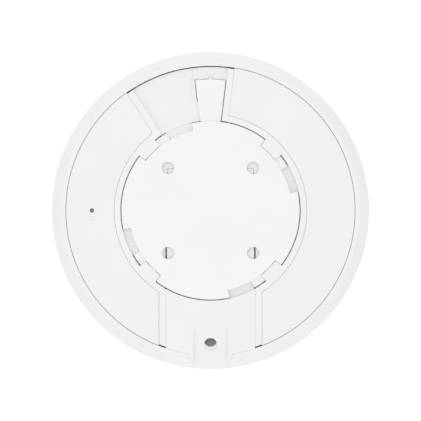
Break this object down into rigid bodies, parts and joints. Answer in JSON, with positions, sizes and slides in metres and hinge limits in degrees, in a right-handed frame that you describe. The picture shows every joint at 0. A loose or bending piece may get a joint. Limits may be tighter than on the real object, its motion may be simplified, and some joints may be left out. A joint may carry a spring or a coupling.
{
  "type": "ceiling access point",
  "caption": "Round white ceiling access point: domed-edge housing on a twist-lock bracket, with a release tongue, cable ramp and reset pinhole on its rear.",
  "frame": {"origin": "centre of the bracket's ceiling face", "axes": "+Z into the ceiling, +Y towards the release tongue, -Y towards the cable outlet"},
  "size_m": [0.2064, 0.2064, 0.046],
  "materials": {
    "shell_plastic": "fine satin texture, cool white",
    "bracket_plastic": "smooth satin, cool white",
    "lens_plastic": "milky clear",
    "black_plastic": "moulded, satin",
    "chip_resin": "fine matte epoxy",
    "board_laminate": "green solder mask",
    "shield_steel": "tinned sheet",
    "screw_steel": "zinc plated",
    "contact_gold": "thin gold plate",
    "sink_aluminium": "die cast",
    "thermal_silicone": "soft matte pad",
    "carrier_plastic": "natural moulded",
    "coax_jacket": "thin extruded jacket",
    "ferrite": "dull grey block"
  },
  "bodies": {
    "bracket": {"mounting_bracket": "bracket_plastic"},
    "housing": {"rear_chassis": "shell_plastic", "left_rear_panel": "shell_plastic", "right_rear_panel": "shell_plastic", "cable_door": "shell_plastic", "front_cover": "shell_plastic", "status_lens": "lens_plastic", "light_pipe": "lens_plastic", "reset_switch": "black_plastic", "main_board": "board_laminate", "ethernet_jack": "black_plastic", "jack_shield": "shield_steel", "jack_contacts": "contact_gold", "ethernet_transformer": "chip_resin", "processor_chip": "chip_resin", "memory_chips": "chip_resin", "radio_chips": "chip_resin", "shield_cans": "shield_steel", "power_inductors": "ferrite", "capacitors": "sink_aluminium", "status_led": "lens_plastic", "thermal_pads": "thermal_silicone", "heat_sink": "sink_aluminium", "antenna_carrier": "carrier_plastic", "low_band_antennas": "contact_gold", "high_band_antennas": "contact_gold", "coax_plugs": "contact_gold", "coax_cables": "coax_jacket", "chassis_screws": "screw_steel", "board_screws": "screw_steel", "heat_sink_screws": "screw_steel", "carrier_screws": "screw_steel"},
    "latch": {"latch_tongue": "bracket_plastic"},
    "reset": {"reset_plunger": "carrier_plastic"}
  },
  "joints": [
    {"name": "bayonet_twist", "type": "hinge", "parent": "bracket", "child": "housing", "pos_m": [0, 0, 0], "axis": [0, 0, -1], "range_deg": [0, 24]},
    {"name": "latch_flex", "type": "hinge", "parent": "bracket", "child": "latch", "pos_m": [0, 0.0546, -0.0024], "axis": [1, 0, 0], "range_deg": [0, 3], "stiffness_Nm_per_rad": 1.5},
    {"name": "reset_press", "type": "slide", "parent": "housing", "child": "reset", "axis": [0, 0, -1], "range_m": [0, 0.0005], "stiffness_N_per_m": 800}
  ]
}
